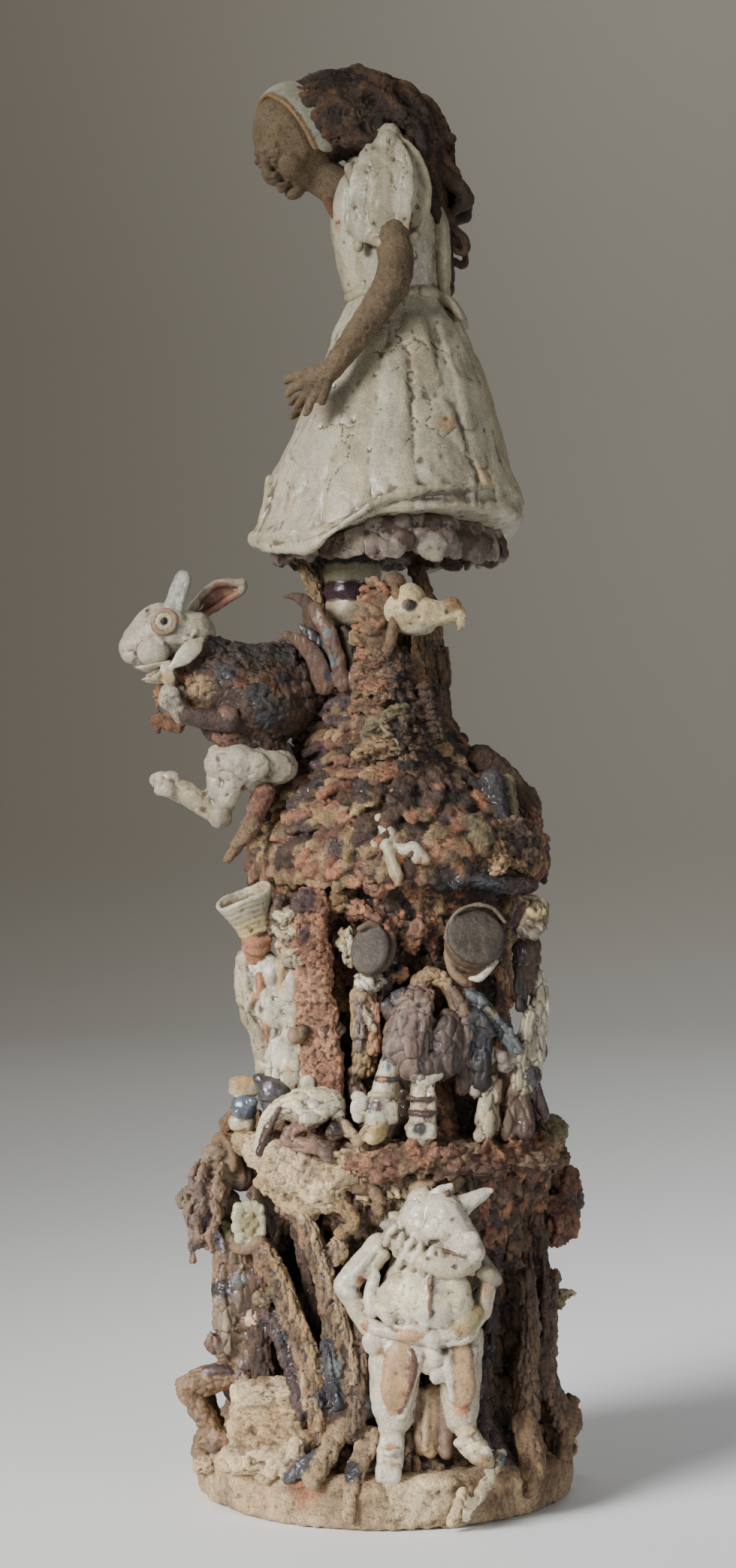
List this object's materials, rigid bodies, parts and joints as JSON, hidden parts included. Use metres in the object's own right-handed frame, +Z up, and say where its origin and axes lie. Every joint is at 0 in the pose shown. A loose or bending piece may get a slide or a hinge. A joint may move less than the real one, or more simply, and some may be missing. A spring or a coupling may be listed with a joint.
{
  "type": "clay tree of life",
  "caption": "Hand-built glazed clay tree of life: a round base, a hollow trunk with ledges and luted figures, and a girl in a bell skirt standing on one leg on top.",
  "frame": {"origin": "the middle of the base slab's underside, where it rests on a table", "axes": "+Z up the trunk, -Y towards the front with the figures, +X to the right seen from the front"},
  "size_m": [0.2685, 0.226, 0.8446],
  "materials": {
    "base_clay": "matte grogged clay",
    "bark_clay": "pressed clay with pooled dark glaze",
    "pillar_clay": "porous rust clay",
    "leaf_glaze": "satin ochre glaze",
    "dress_glaze": "cracked cream glaze",
    "ruffle_glaze": "grey-brown glaze",
    "stocking_glaze": "banded satin glaze",
    "skin_clay": "matte grogged clay",
    "band_glaze": "pale green glaze",
    "hair_glaze": "dark brown gloss glaze",
    "feather_clay": "lumpy brown clay",
    "beak_clay": "pale satin glaze",
    "fur_glaze": "stained cream glaze",
    "ear_glaze": "grey satin glaze",
    "jacket_glaze": "dark brown gloss glaze",
    "cream_glaze": "cracked cream glaze",
    "dark_glaze": "dark grey glaze",
    "cape_glaze": "brown-purple glaze",
    "boot_glaze": "banded glaze",
    "ball_glaze": "blue-black glaze",
    "beard_clay": "brown clay"
  },
  "bodies": {
    "root": {"base_slab": "base_clay", "base_roots": "base_clay", "step_seat": "base_clay", "mid_ledge": "base_clay", "ledge_boulder": "base_clay", "lower_trunk": "bark_clay", "middle_trunk": "bark_clay", "upper_shoulder": "bark_clay", "upper_trunk": "bark_clay", "arch_branches": "bark_clay", "bark_tiles": "bark_clay", "crown_bark": "bark_clay", "resting_creature": "bark_clay", "square_pillar": "pillar_clay", "crown_leaves": "leaf_glaze", "skirt": "dress_glaze", "bodice": "dress_glaze", "waist_bow": "dress_glaze", "puff_sleeves": "dress_glaze", "petticoat": "ruffle_glaze", "stocking_leg": "stocking_glaze", "head": "skin_clay", "arms": "skin_clay", "elder_head": "skin_clay", "hat_man_head": "skin_clay", "headband": "band_glaze", "held_tile": "band_glaze", "hair": "hair_glaze", "hair_curls": "hair_glaze", "bird_body": "feather_clay", "bird_hood": "feather_clay", "bird_head": "beak_clay", "hare_head": "fur_glaze", "hare_leg": "fur_glaze", "hare_ears": "ear_glaze", "hare_jacket": "jacket_glaze", "hare_arms": "jacket_glaze", "hare_collar": "cream_glaze", "knotted_twig": "cream_glaze", "top_hat": "cream_glaze", "hat_man_frock": "cream_glaze", "companion_head": "cream_glaze", "disc_hat_player": "cream_glaze", "piper_hat": "cream_glaze", "piper_body": "cream_glaze", "arched_creature": "cream_glaze", "elder_body": "cream_glaze", "elder_legs": "cream_glaze", "beast_head": "cream_glaze", "beast_ruff": "cream_glaze", "beast_coat": "cream_glaze", "beast_breeches": "cream_glaze", "beast_boots": "cream_glaze", "disc_hat": "dark_glaze", "drum": "dark_glaze", "drummer_cape": "cape_glaze", "striped_boots": "boot_glaze", "ledge_balls": "ball_glaze", "elder_beard": "beard_clay"}
  },
  "joints": []
}
